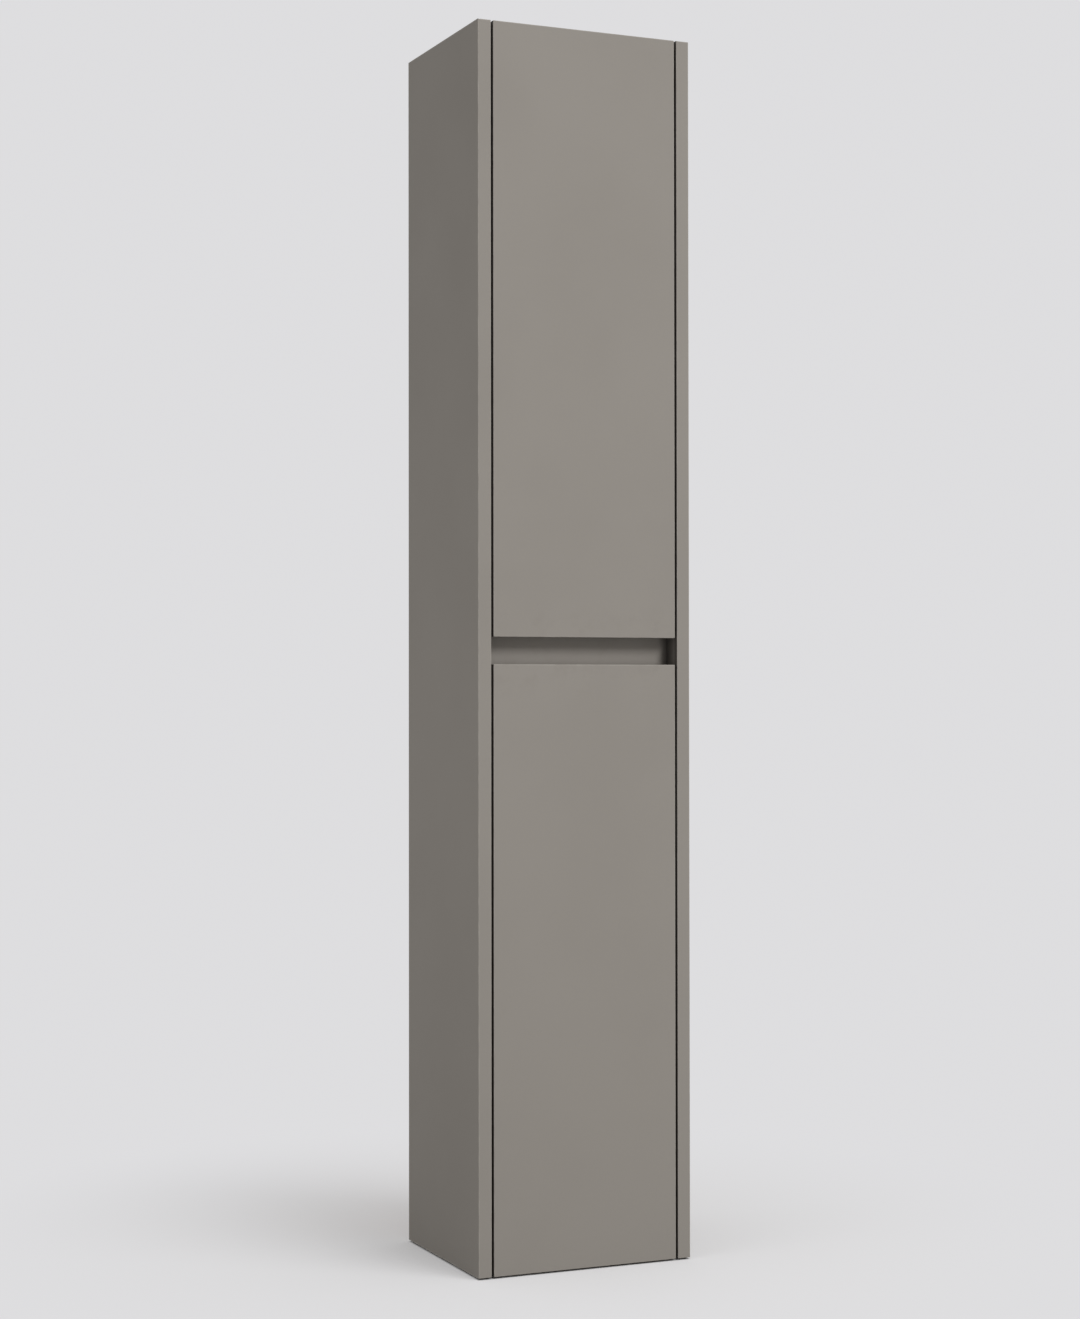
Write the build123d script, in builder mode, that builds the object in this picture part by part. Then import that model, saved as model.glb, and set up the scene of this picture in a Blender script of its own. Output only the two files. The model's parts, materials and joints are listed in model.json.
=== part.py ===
import os
from math import hypot

from build123d import *

os.makedirs("parts", exist_ok=True)

# Overall size of the cabinet, in millimetres
cabinet_height = 1600.0
cabinet_width = 300.0
cabinet_depth = 250.0

# Boards
board = 18.0
door_thickness = 18.0
shelf_thickness = 16.0
back_thickness = 4.0
edge_round = 1.0
groove_depth = 6.0
groove_slack = 0.2  # on each face of the back boards
groove_end_slack = 1.0
back_inset = 18.0  # hollow behind the back boards, for the wall hooks

# Fronts and the finger recess between them
lower_door_height = 778.0
recess_height = 35.0
side_gap = 3.0
rear_gap = 4.0  # from a door's back to the front edges of the level boards
rail_setback = 30.0
rail_height = 90.0

# Loose shelves, two in each compartment, on pins in rows of holes
shelves_each = 2
shelf_setback = 35.0
shelf_side_slack = 1.0
shelf_back_slack = 0.5
pin_pitch = 32.0
pin_steps = 2  # spare holes above and below each pin
pin_hole_radius = 2.5
pin_hole_depth = 12.0
pin_front_line = 37.0  # from the level boards' front edges
pin_line_spacing = 128.0
pin_plug_slack = 0.05
pin_block_width = 12.0
pin_block_height = 7.0
pin_block_reach = 9.0

# Cam fittings and dowels that join the boards
cam_radius = 7.5
cam_height = 12.0
cam_slack = 0.1
cam_sunk = 0.4
cam_reach = 24.0  # from a board's end to the cam's centre
cam_front_inset = 45.0
cam_rear_line = 95.0
rail_cam_rise = 28.0
bolt_radius = 2.5
bolt_head_radius = 3.3
bolt_head_length = 4.0
bolt_in_side = 11.0
bolt_channel_radius = 4.0
fitting_slack = 0.05
cap_radius = 8.7
cap_thickness = 1.0
dowel_radius = 4.0
dowel_in_side = 11.0
dowel_in_board = 19.0
dowel_end_slack = 0.5
dowel_offset = 32.0

# Goose-neck cup hinges on the right side, two to a door
hinge_end = 100.0  # from a door's end to the hinge
neck_width = 12.0
pivot_inset = 8.7  # from the door's edge to the pin
pivot_depth = 7.6  # from the door's face to the pin
pin_radius = 1.5
pin_fit = 0.05
knuckle_radius = 2.4
neck_clearance = 0.85  # from the sweep of the door's back corner
neck_thickness = 2.8
neck_bend = 3.5
arm_width = 16.0
arm_rear = 84.0  # from the front of the cabinet to the arm's end
arm_flange = 3.0
cup_radius = 17.5
cup_edge = 3.0  # from the door's edge to the cup's bore
knuckle_clearance = 0.3  # to the cup's floor
cup_slack = 0.1
cup_wall = 0.6
cup_flange = 1.0
cup_flange_radius = 19.0
cup_screw_spacing = 45.0
cup_screw_offset = 9.5
cup_ear_radius = 6.5
cup_screw_radius = 1.75
cup_screw_length = 12.0
cup_screw_head = 3.5
lug_gap = 0.5
lug_thickness = 3.0
lug_half = 2.6
spring_thickness = 0.6
spring_width = 8.0
spring_start = 5.0
spring_end = 19.0
spring_rise = 4.0

# Mounting plates of the hinges
plate_line = 60.0  # from the front of the cabinet to the screws
plate_thickness = 3.0
plate_length = 46.0
plate_strip = 18.0
plate_wing = 14.0
plate_height = 48.0
plate_screw_spacing = 32.0
plate_screw_radius = 3.0
plate_screw_depth = 11.5
plate_screw_head = 4.4
plate_head_height = 1.5
arm_slack = 0.1
arm_screw_radius = 2.5
arm_screw_head = 4.0
arm_head_height = 2.0
arm_adjuster_offset = 18.0

# Door stops on the left side
stop_end = 60.0
stop_width = 14.0
stop_depth = 10.0
stop_height = 20.0
stop_pad = 1.2
stop_pad_radius = 4.0
stop_clearance = 0.3

# Wall hooks and the plates they hang on
screw_drop = 40.0  # from the top panel's underside to the centre of the wall screws
wall_plate_gap = 4.0  # from a side panel's inner face
wall_screw_spacing_z = 32.0
wall_screw_radius = 3.25
wall_plate_width = 40.0
wall_plate_thickness = 2.5
wall_plate_low = 26.0
wall_plate_high = 22.0
lip_offset = 7.0
lip_top = 32.0
hook_thickness = 3.0
hook_height = 5.0
hook_drop = 7.0
hook_rest = 2.5
hook_inset = 9.0  # from the side panel's inner face
hook_length = 57.0
hanger_width = 14.0
hanger_depth = 48.0
hanger_height = 56.0
hanger_top_gap = 2.0
hanger_slack = 0.3
hanger_screw_radius = 3.0
hanger_screw_depth = 11.0
hanger_screw_lines = (12.0, 36.0)  # from the housing's rear
hanger_screw_rise = 11.0
adjuster_rises = (22.0, 34.0)
hanger_cover_wall = 1.5
window_width = 13.0
window_height = 11.0
adjuster_radius = 3.5
adjuster_length = 14.0
drive_depth = 1.0
drive_width = 0.9

# The origin is the centre of the wall screws, on the wall; the cabinet's front faces -Y
top_z = screw_drop + board
bottom_z = top_z - cabinet_height
inner_x = cabinet_width / 2 - board
front_y = -cabinet_depth
door_back_y = front_y + door_thickness
carcass_front_y = door_back_y + rear_gap
rail_front_y = front_y + rail_setback
rail_back_y = rail_front_y + board
back_rear_y = -back_inset
back_front_y = back_rear_y - back_thickness
floor_z = bottom_z + board
ceiling_z = top_z - board
recess_low_z = bottom_z + lower_door_height
recess_top_z = recess_low_z + recess_height
middle_z = (recess_low_z + recess_top_z) / 2
middle_low_z = middle_z - board / 2
middle_top_z = middle_z + board / 2
rail_low_z = middle_z - rail_height / 2

hinge_places = {
    "lower_low": bottom_z + hinge_end,
    "lower_top": recess_low_z - hinge_end,
    "upper_low": recess_top_z + hinge_end,
    "upper_top": top_z - hinge_end,
}
door_spans = {"lower": (bottom_z, recess_low_z), "upper": (recess_top_z, top_z)}
compartments = {"lower": (floor_z, middle_low_z), "upper": (middle_top_z, ceiling_z)}

# Level boards: the height of each one's centre and the place of its front edge
level_boards = {
    "bottom": (bottom_z + board / 2, carcass_front_y),
    "middle": (middle_z, rail_back_y),
    "top": (top_z - board / 2, carcass_front_y),
}


def shelf_undersides():
    heights = {}
    for compartment, (low, high) in compartments.items():
        clear = (high - low - shelves_each * shelf_thickness) / (shelves_each + 1)
        for count in range(shelves_each):
            heights[f"{compartment}_shelf_{count + 1}"] = (
                low + clear + count * (clear + shelf_thickness)
            )
    return heights


shelf_heights = shelf_undersides()
pin_lines = [
    carcass_front_y + pin_front_line,
    carcass_front_y + pin_front_line + pin_line_spacing,
]
pin_places = [
    (line, height - pin_block_height / 2)
    for height in shelf_heights.values()
    for line in pin_lines
]
spare_places = [
    (line, height + step * pin_pitch)
    for line, height in pin_places
    for step in range(-pin_steps, pin_steps + 1)
]


def cam_lines(front):
    return [front + cam_front_inset, -cam_rear_line]


def dowel_lines(front):
    return [front + cam_front_inset + dowel_offset, -cam_rear_line + dowel_offset]


rail_y = (rail_front_y + rail_back_y) / 2
rail_cam_heights = [middle_z - rail_cam_rise, middle_z + rail_cam_rise]

# Where the bolts and dowels enter a side panel, as (y, z)
bolt_places = [
    (line, height) for height, front in level_boards.values() for line in cam_lines(front)
] + [(rail_y, height) for height in rail_cam_heights]
dowel_places = [
    (line, height) for height, front in level_boards.values() for line in dowel_lines(front)
] + [(rail_y, middle_z)]
plate_screw_places = [
    (front_y + plate_line, height + side * plate_screw_spacing / 2)
    for height in hinge_places.values()
    for side in (-1, 1)
]
stop_heights = [
    height for low, high in door_spans.values() for height in (low + stop_end, high - stop_end)
]
stop_front_y = door_back_y + stop_clearance + stop_pad
stop_plug_y = stop_front_y + stop_depth / 2

wall_plate_x = inner_x - wall_plate_gap - wall_plate_width / 2
hanger_top = ceiling_z - hanger_top_gap
hanger_low = hanger_top - hanger_height
hanger_back_y = back_front_y - hanger_slack
hanger_front_y = hanger_back_y - hanger_depth
hanger_screw_places = [
    (hanger_back_y - line, hanger_low + hanger_screw_rise) for line in hanger_screw_lines
]


def finish(piece, name):
    piece.part.label = name
    export_step(piece.part, f"parts/{name}.step")


def cut_cross(plane, reach):
    # The recess for a cross-head driver; the plane faces into the screw
    with BuildSketch(plane) as cross:
        Rectangle(reach, drive_width)
        Rectangle(drive_width, reach)
    extrude(cross.sketch, amount=drive_depth, mode=Mode.SUBTRACT)


def add_countersunk_screw(plane, radius, head, length):
    # The plane lies on the head's face and points along the shank
    with BuildSketch(plane) as head_face:
        Circle(head)
    extrude(head_face.sketch, amount=head - radius, taper=45)
    with BuildSketch(plane) as shank:
        Circle(radius)
    extrude(shank.sketch, amount=length)
    cut_cross(plane, head)


def add_pan_screw(plane, radius, head, head_height, length):
    # The plane lies under the head and points along the shank
    with BuildSketch(plane) as head_face:
        Circle(head)
    extrude(head_face.sketch, amount=-head_height)
    with BuildSketch(plane) as shank:
        Circle(radius)
    extrude(shank.sketch, amount=length)
    cut_cross(plane.offset(-head_height), head)


# Side panels, with the groove for the back boards and every row of holes
for name, side in (("left_side_panel", -1), ("right_side_panel", 1)):
    inner_face = Plane.YZ.offset(side * inner_x)
    with BuildPart() as side_panel:
        with BuildSketch(Plane.XY.offset(bottom_z)):
            with Locations((side * (inner_x + board / 2), front_y / 2)):
                Rectangle(board, cabinet_depth)
        extrude(amount=cabinet_height)
        fillet(side_panel.edges().group_by(Axis.Y)[0], edge_round)
        with BuildSketch(Plane.XY.offset(ceiling_z + groove_depth)):
            with Locations((side * inner_x, (back_front_y + back_rear_y) / 2)):
                Rectangle(2 * groove_depth, back_thickness + 2 * groove_slack)
        extrude(amount=floor_z - ceiling_z - 2 * groove_depth, mode=Mode.SUBTRACT)
        with BuildSketch(inner_face):
            with Locations(*spare_places):
                Circle(pin_hole_radius)
        extrude(amount=side * pin_hole_depth, mode=Mode.SUBTRACT)
        with BuildSketch(inner_face):
            with Locations(*bolt_places):
                Circle(bolt_radius + fitting_slack)
        extrude(amount=side * (bolt_in_side + dowel_end_slack), mode=Mode.SUBTRACT)
        with BuildSketch(inner_face):
            with Locations(*dowel_places):
                Circle(dowel_radius + fitting_slack)
        extrude(amount=side * (dowel_in_side + dowel_end_slack), mode=Mode.SUBTRACT)
        with BuildSketch(inner_face):
            with Locations(*hanger_screw_places):
                Circle(hanger_screw_radius + fitting_slack)
        extrude(amount=side * (hanger_screw_depth + dowel_end_slack), mode=Mode.SUBTRACT)
        if side > 0:
            with BuildSketch(inner_face):
                with Locations(*plate_screw_places):
                    Circle(plate_screw_radius + fitting_slack)
            extrude(amount=plate_screw_depth + dowel_end_slack, mode=Mode.SUBTRACT)
        else:
            with BuildSketch(inner_face):
                with Locations(*[(stop_plug_y, height) for height in stop_heights]):
                    Circle(pin_hole_radius)
            extrude(amount=-pin_hole_depth, mode=Mode.SUBTRACT)
    finish(side_panel, name)


# Top, bottom and middle boards; cam_face is where the cams are let in: 1 above, -1 below
def make_level_board(name, height, front, cam_face, groove_faces):
    with BuildPart() as level_board:
        with BuildSketch(Plane.XY.offset(height - board / 2)):
            with Locations((0, front / 2)):
                Rectangle(2 * inner_x, -front)
        extrude(amount=board)
        fillet(level_board.edges().group_by(Axis.Y)[0].filter_by(Axis.X), edge_round)
        for face in groove_faces:
            with BuildSketch(Plane.XY.offset(height + face * board / 2)):
                with Locations((0, (back_front_y + back_rear_y) / 2)):
                    Rectangle(2 * inner_x, back_thickness + 2 * groove_slack)
            extrude(amount=-face * groove_depth, mode=Mode.SUBTRACT)
        with BuildSketch(Plane.XY.offset(height + cam_face * board / 2)):
            with Locations(*[(end * (inner_x - cam_reach), line)
                             for end in (-1, 1) for line in cam_lines(front)]):
                Circle(cam_radius + cam_slack)
        extrude(amount=-cam_face * (cam_height + cam_sunk), mode=Mode.SUBTRACT)
        for end in (-1, 1):
            with BuildSketch(Plane.YZ.offset(end * inner_x)):
                with Locations(*[(line, height) for line in cam_lines(front)]):
                    Circle(bolt_channel_radius)
            extrude(amount=-end * cam_reach, mode=Mode.SUBTRACT)
            with BuildSketch(Plane.YZ.offset(end * inner_x)):
                with Locations(*[(line, height) for line in dowel_lines(front)]):
                    Circle(dowel_radius + fitting_slack)
            extrude(amount=-end * (dowel_in_board + dowel_end_slack), mode=Mode.SUBTRACT)
    finish(level_board, name)


make_level_board("bottom_panel", *level_boards["bottom"], cam_face=1, groove_faces=[1])
make_level_board("middle_shelf", *level_boards["middle"], cam_face=-1, groove_faces=[-1, 1])
make_level_board("top_panel", *level_boards["top"], cam_face=-1, groove_faces=[-1])

# Handle rail: the upright board that closes the finger recess from behind
with BuildPart() as handle_rail:
    with BuildSketch(Plane.XY.offset(rail_low_z)):
        with Locations((0, rail_y)):
            Rectangle(2 * inner_x, board)
    extrude(amount=rail_height)
    fillet(handle_rail.edges().group_by(Axis.Y)[0].filter_by(Axis.X), edge_round)
    with BuildSketch(Plane.XZ.offset(-rail_back_y)):
        with Locations(*[(end * (inner_x - cam_reach), height)
                         for end in (-1, 1) for height in rail_cam_heights]):
            Circle(cam_radius + cam_slack)
    extrude(amount=cam_height + cam_sunk, mode=Mode.SUBTRACT)
    for end in (-1, 1):
        with BuildSketch(Plane.YZ.offset(end * inner_x)):
            with Locations(*[(rail_y, height) for height in rail_cam_heights]):
                Circle(bolt_channel_radius)
        extrude(amount=-end * cam_reach, mode=Mode.SUBTRACT)
        with BuildSketch(Plane.YZ.offset(end * inner_x)):
            with Locations((rail_y, middle_z)):
                Circle(dowel_radius + fitting_slack)
        extrude(amount=-end * (dowel_in_board + dowel_end_slack), mode=Mode.SUBTRACT)
finish(handle_rail, "handle_rail")

# Back boards, slid into the grooves; the upper one has windows for the wall hooks
hook_z = lip_top + hook_height / 2
for compartment, (low, high) in compartments.items():
    with BuildPart() as back_board:
        with BuildSketch(Plane.XZ.offset(-back_rear_y)):
            with Locations((0, (low + high) / 2)):
                Rectangle(
                    2 * (inner_x + groove_depth - groove_end_slack),
                    high - low + 2 * (groove_depth - groove_end_slack),
                )
            if compartment == "upper":
                with Locations(*[(end * (inner_x - hook_inset), hook_z) for end in (-1, 1)]):
                    Rectangle(window_width, window_height, mode=Mode.SUBTRACT)
        extrude(amount=back_thickness)
    finish(back_board, f"{compartment}_back_board")

# Loose shelves
shelf_front_y = front_y + shelf_setback
shelf_rear_y = back_front_y - shelf_back_slack
for name, height in shelf_heights.items():
    with BuildPart() as shelf:
        with BuildSketch(Plane.XY.offset(height)):
            with Locations((0, (shelf_front_y + shelf_rear_y) / 2)):
                Rectangle(2 * (inner_x - shelf_side_slack), shelf_rear_y - shelf_front_y)
        extrude(amount=shelf_thickness)
        fillet(shelf.edges().group_by(Axis.Y)[0].filter_by(Axis.X), edge_round)
    finish(shelf, name)

# Shelf pins: a plug in the panel and a flat-topped block under the shelf
with BuildPart() as shelf_pins:
    for end in (-1, 1):
        with BuildSketch(Plane.YZ.offset(end * inner_x)):
            with Locations(*pin_places):
                Circle(pin_hole_radius - pin_plug_slack)
        extrude(amount=end * (pin_hole_depth - dowel_end_slack))
        with BuildSketch(Plane.YZ.offset(end * inner_x)):
            with Locations(*pin_places):
                RectangleRounded(pin_block_width, pin_block_height, edge_round)
        extrude(amount=-end * pin_block_reach)
finish(shelf_pins, "shelf_pins")

# Cams, their bolts and cover caps, and the wooden dowels
cam_planes = []
for board_name, cam_face in (("bottom", 1), ("middle", -1), ("top", -1)):
    height, front = level_boards[board_name]
    for end in (-1, 1):
        for line in cam_lines(front):
            cam_planes.append(Plane(
                origin=(end * (inner_x - cam_reach), line, height + cam_face * board / 2),
                x_dir=(end, 0, 0),
                z_dir=(0, 0, cam_face),
            ))
for end in (-1, 1):
    for height in rail_cam_heights:
        cam_planes.append(Plane(
            origin=(end * (inner_x - cam_reach), rail_back_y, height),
            x_dir=(end, 0, 0),
            z_dir=(0, 1, 0),
        ))

with BuildPart() as cam_locks:
    for plane in cam_planes:
        sunk_plane = plane.offset(-cam_sunk)
        with BuildSketch(sunk_plane):
            Circle(cam_radius)
        extrude(amount=-cam_height)
        cut_cross(Plane(sunk_plane.origin, sunk_plane.x_dir, -sunk_plane.z_dir), cam_radius)
        with BuildSketch(plane.offset(-board / 2)):
            with Locations((cam_radius, 0)):
                Rectangle(2 * cam_radius, 2 * bolt_channel_radius)
        extrude(amount=bolt_channel_radius, both=True, mode=Mode.SUBTRACT)
finish(cam_locks, "cam_locks")

with BuildPart() as cam_caps:
    for plane in cam_planes:
        with BuildSketch(plane):
            Circle(cap_radius)
        extrude(amount=cap_thickness)
finish(cam_caps, "cam_caps")

with BuildPart() as cam_bolts:
    for end in (-1, 1):
        with BuildSketch(Plane.YZ.offset(end * (inner_x + bolt_in_side))):
            with Locations(*bolt_places):
                Circle(bolt_radius)
        extrude(amount=-end * (bolt_in_side + cam_reach))
        with BuildSketch(Plane.YZ.offset(end * (inner_x - cam_reach))):
            with Locations(*bolt_places):
                Circle(bolt_head_radius)
        extrude(amount=end * bolt_head_length)
finish(cam_bolts, "cam_bolts")

with BuildPart() as dowels:
    for end in (-1, 1):
        with BuildSketch(Plane.YZ.offset(end * (inner_x - dowel_in_board))):
            with Locations(*dowel_places):
                Circle(dowel_radius)
        extrude(amount=end * (dowel_in_board + dowel_in_side))
finish(dowels, "dowels")


# Each hinge is drawn on a plane whose x runs inwards from the right panel, y from the front back
def hinge_plane(height):
    return Plane(origin=(inner_x, front_y, height), x_dir=(-1, 0, 0), z_dir=(0, 0, -1))


pivot_u = side_gap + pivot_inset
neck_radius = (
    hypot(pivot_inset, door_thickness - pivot_depth) + neck_clearance + neck_thickness / 2
)
cup_u = side_gap + cup_edge + cup_radius
cup_screw_u = cup_u + cup_screw_offset
arm_u = plate_thickness + arm_slack + neck_thickness / 2
arm_face_u = arm_u + neck_thickness / 2
arm_start = pivot_depth + neck_radius + neck_bend
cup_floor_v = pivot_depth - knuckle_radius - knuckle_clearance
cup_bore_depth = door_thickness - cup_floor_v + cup_wall + cup_slack
lug_start = neck_width / 2 + lug_gap


def door_face_plane(height):
    # On the door's back, x inwards from the right panel, y up, facing into the cabinet
    return Plane(origin=(inner_x, door_back_y, height), x_dir=(-1, 0, 0), z_dir=(0, 1, 0))


def panel_plane(height):
    # On the right panel's inner face, x from the cabinet's front to its back, facing inwards
    return Plane(origin=(inner_x, front_y, height), x_dir=(0, 1, 0), z_dir=(-1, 0, 0))


for place, height in hinge_places.items():
    # Goose-neck arm: knuckle, web, neck round the door's edge, and the arm on its plate
    with BuildPart() as hinge_arm:
        with BuildSketch(hinge_plane(height)):
            with BuildLine():
                web = Line((pivot_u, pivot_depth), (pivot_u + neck_radius, pivot_depth))
                neck = CenterArc((pivot_u, pivot_depth), neck_radius, 0, 90)
                back = Line(neck @ 1, (arm_u + neck_bend, pivot_depth + neck_radius))
                bend = JernArc(back @ 1, back % 1, neck_bend, -90)
                Line(bend @ 1, (arm_u, arm_rear))
            trace(line_width=neck_thickness)
            with Locations((pivot_u, pivot_depth)):
                Circle(knuckle_radius)
                Circle(pin_radius + pin_fit, mode=Mode.SUBTRACT)
        extrude(amount=neck_width / 2, both=True)
        with BuildSketch(hinge_plane(height)):
            with Locations((arm_u, (arm_start + arm_rear) / 2)):
                Rectangle(neck_thickness, arm_rear - arm_start)
        extrude(amount=arm_width / 2, both=True)
        with BuildSketch(panel_plane(height).offset(arm_face_u)):
            with Locations(*[((arm_start + arm_rear) / 2, end * (arm_width - neck_thickness) / 2)
                             for end in (-1, 1)]):
                Rectangle(arm_rear - arm_start, neck_thickness)
        extrude(amount=arm_flange)
        with BuildSketch(panel_plane(height).offset(arm_face_u)):
            with Locations((plate_line, 0), (plate_line - arm_adjuster_offset, 0)):
                Circle(arm_screw_radius + fitting_slack)
        extrude(amount=-neck_thickness, mode=Mode.SUBTRACT)
    finish(hinge_arm, f"hinge_arm_{place}")

    # Mounting plate, a cross with its wings along the panel
    with BuildPart() as hinge_plate:
        with BuildSketch(panel_plane(height)):
            with Locations((plate_line, 0)):
                RectangleRounded(plate_length, plate_strip, edge_round)
                RectangleRounded(plate_wing, plate_height, edge_round)
        extrude(amount=plate_thickness)
        with BuildSketch(panel_plane(height).offset(plate_thickness)):
            with Locations(*[(plate_line, end * plate_screw_spacing / 2) for end in (-1, 1)]):
                Circle(plate_screw_radius + fitting_slack)
            with Locations((plate_line, 0), (plate_line - arm_adjuster_offset, 0)):
                Circle(arm_screw_radius + fitting_slack)
        extrude(amount=-plate_thickness, mode=Mode.SUBTRACT)
    finish(hinge_plate, f"hinge_plate_{place}")

    # Cup let into the door, with two lugs that hold the pin
    with BuildPart() as hinge_cup:
        with BuildSketch(door_face_plane(height)):
            with Locations((cup_u, 0)):
                Circle(cup_flange_radius)
            with Locations(*[(cup_screw_u, end * cup_screw_spacing / 2) for end in (-1, 1)]):
                Circle(cup_ear_radius)
            make_hull()
        extrude(amount=cup_flange)
        with BuildSketch(door_face_plane(height)):
            with Locations((cup_u, 0)):
                Circle(cup_radius - cup_slack)
        extrude(amount=-(cup_bore_depth - cup_slack))
        with BuildSketch(door_face_plane(height).offset(cup_flange)):
            with Locations((cup_u, 0)):
                Circle(cup_radius - cup_slack - cup_wall)
        extrude(amount=cup_floor_v - door_thickness - cup_flange, mode=Mode.SUBTRACT)
        for end in (-1, 1):
            with BuildSketch(hinge_plane(height + end * lug_start)):
                with Locations((pivot_u, (cup_floor_v + pivot_depth + lug_half) / 2)):
                    Rectangle(2 * lug_half, pivot_depth + lug_half - cup_floor_v)
            extrude(amount=-end * lug_thickness)
        with BuildSketch(hinge_plane(height)):
            with Locations((pivot_u, pivot_depth)):
                Circle(pin_radius + pin_fit / 2)
        extrude(amount=lug_start + lug_thickness, both=True, mode=Mode.SUBTRACT)
        with BuildSketch(door_face_plane(height).offset(cup_flange)):
            with Locations(*[(cup_screw_u, end * cup_screw_spacing / 2) for end in (-1, 1)]):
                Circle(cup_screw_head + fitting_slack)
        extrude(amount=-cup_flange, mode=Mode.SUBTRACT)
    finish(hinge_cup, f"hinge_cup_{place}")

    # Leaf spring on the cup's floor, under the web
    with BuildPart() as hinge_spring:
        with BuildSketch(hinge_plane(height)):
            with BuildLine():
                Polyline(
                    (pivot_u + spring_start, cup_floor_v + spring_thickness / 2),
                    (pivot_u + spring_end, cup_floor_v + spring_thickness / 2),
                    (pivot_u + spring_end + spring_rise / 2, cup_floor_v + spring_rise),
                )
            trace(line_width=spring_thickness)
        extrude(amount=spring_width / 2, both=True)
    finish(hinge_spring, f"hinge_spring_{place}")

# Hinge pins and cup screws, by door
for door in door_spans:
    heights = [height for place, height in hinge_places.items() if place.startswith(door)]
    with BuildPart() as hinge_pins:
        for height in heights:
            with BuildSketch(hinge_plane(height)):
                with Locations((pivot_u, pivot_depth)):
                    Circle(pin_radius)
            extrude(amount=lug_start + lug_thickness, both=True)
    finish(hinge_pins, f"{door}_hinge_pins")

    with BuildPart() as cup_screws:
        for height in heights:
            for end in (-1, 1):
                face = door_face_plane(height + end * cup_screw_spacing / 2)
                spot = face.offset(cup_flange).from_local_coords((cup_screw_u, 0, 0))
                add_countersunk_screw(
                    Plane(spot, z_dir=(0, -1, 0)),
                    cup_screw_radius,
                    cup_screw_head,
                    cup_screw_length,
                )
    finish(cup_screws, f"{door}_cup_screws")

# Screws of the mounting plates, and of the arms on them
with BuildPart() as plate_screws:
    for line, height in plate_screw_places:
        add_pan_screw(
            Plane((inner_x - plate_thickness, line, height), z_dir=(1, 0, 0)),
            plate_screw_radius,
            plate_screw_head,
            plate_head_height,
            plate_screw_depth + plate_thickness,
        )
finish(plate_screws, "plate_screws")

with BuildPart() as arm_screws:
    for height in hinge_places.values():
        for line in (plate_line, plate_line - arm_adjuster_offset):
            add_pan_screw(
                Plane((inner_x - arm_face_u, front_y + line, height), z_dir=(1, 0, 0)),
                arm_screw_radius,
                arm_screw_head,
                arm_head_height,
                arm_face_u - fitting_slack,
            )
finish(arm_screws, "arm_screws")

# Doors, with the bores for their cups and screws
for door, (low, high) in door_spans.items():
    heights = [height for place, height in hinge_places.items() if place.startswith(door)]
    with BuildPart() as door_board:
        with BuildSketch(Plane.XY.offset(low)):
            with Locations((0, (front_y + door_back_y) / 2)):
                Rectangle(2 * (inner_x - side_gap), door_thickness)
        extrude(amount=high - low)
        fillet(door_board.edges(), edge_round)
        for height in heights:
            with BuildSketch(door_face_plane(height)):
                with Locations((cup_u, 0)):
                    Circle(cup_radius)
            extrude(amount=-cup_bore_depth, mode=Mode.SUBTRACT)
            with BuildSketch(door_face_plane(height)):
                with Locations(*[(cup_screw_u, end * cup_screw_spacing / 2) for end in (-1, 1)]):
                    Circle(cup_screw_head + fitting_slack)
            extrude(amount=-(cup_screw_head - cup_screw_radius), mode=Mode.SUBTRACT)
            with BuildSketch(door_face_plane(height)):
                with Locations(*[(cup_screw_u, end * cup_screw_spacing / 2) for end in (-1, 1)]):
                    Circle(cup_screw_radius + fitting_slack)
            extrude(amount=-cup_screw_length, mode=Mode.SUBTRACT)
    finish(door_board, f"{door}_door")

# Door stops on the left panel, each with a soft pad
with BuildPart() as door_stops:
    for height in stop_heights:
        with BuildSketch(Plane.YZ.offset(-inner_x)):
            with Locations((stop_plug_y, height)):
                RectangleRounded(stop_depth, stop_height, edge_round)
        extrude(amount=stop_width)
        with BuildSketch(Plane.YZ.offset(-inner_x)):
            with Locations((stop_plug_y, height)):
                Circle(pin_hole_radius - pin_plug_slack)
        extrude(amount=-(pin_hole_depth - dowel_end_slack))
finish(door_stops, "door_stops")

with BuildPart() as stop_pads:
    for height in stop_heights:
        with BuildSketch(Plane.XZ.offset(-stop_front_y)):
            with Locations((-inner_x + stop_width / 2 + side_gap / 2, height)):
                Circle(stop_pad_radius)
        extrude(amount=stop_pad)
finish(stop_pads, "stop_pads")

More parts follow.
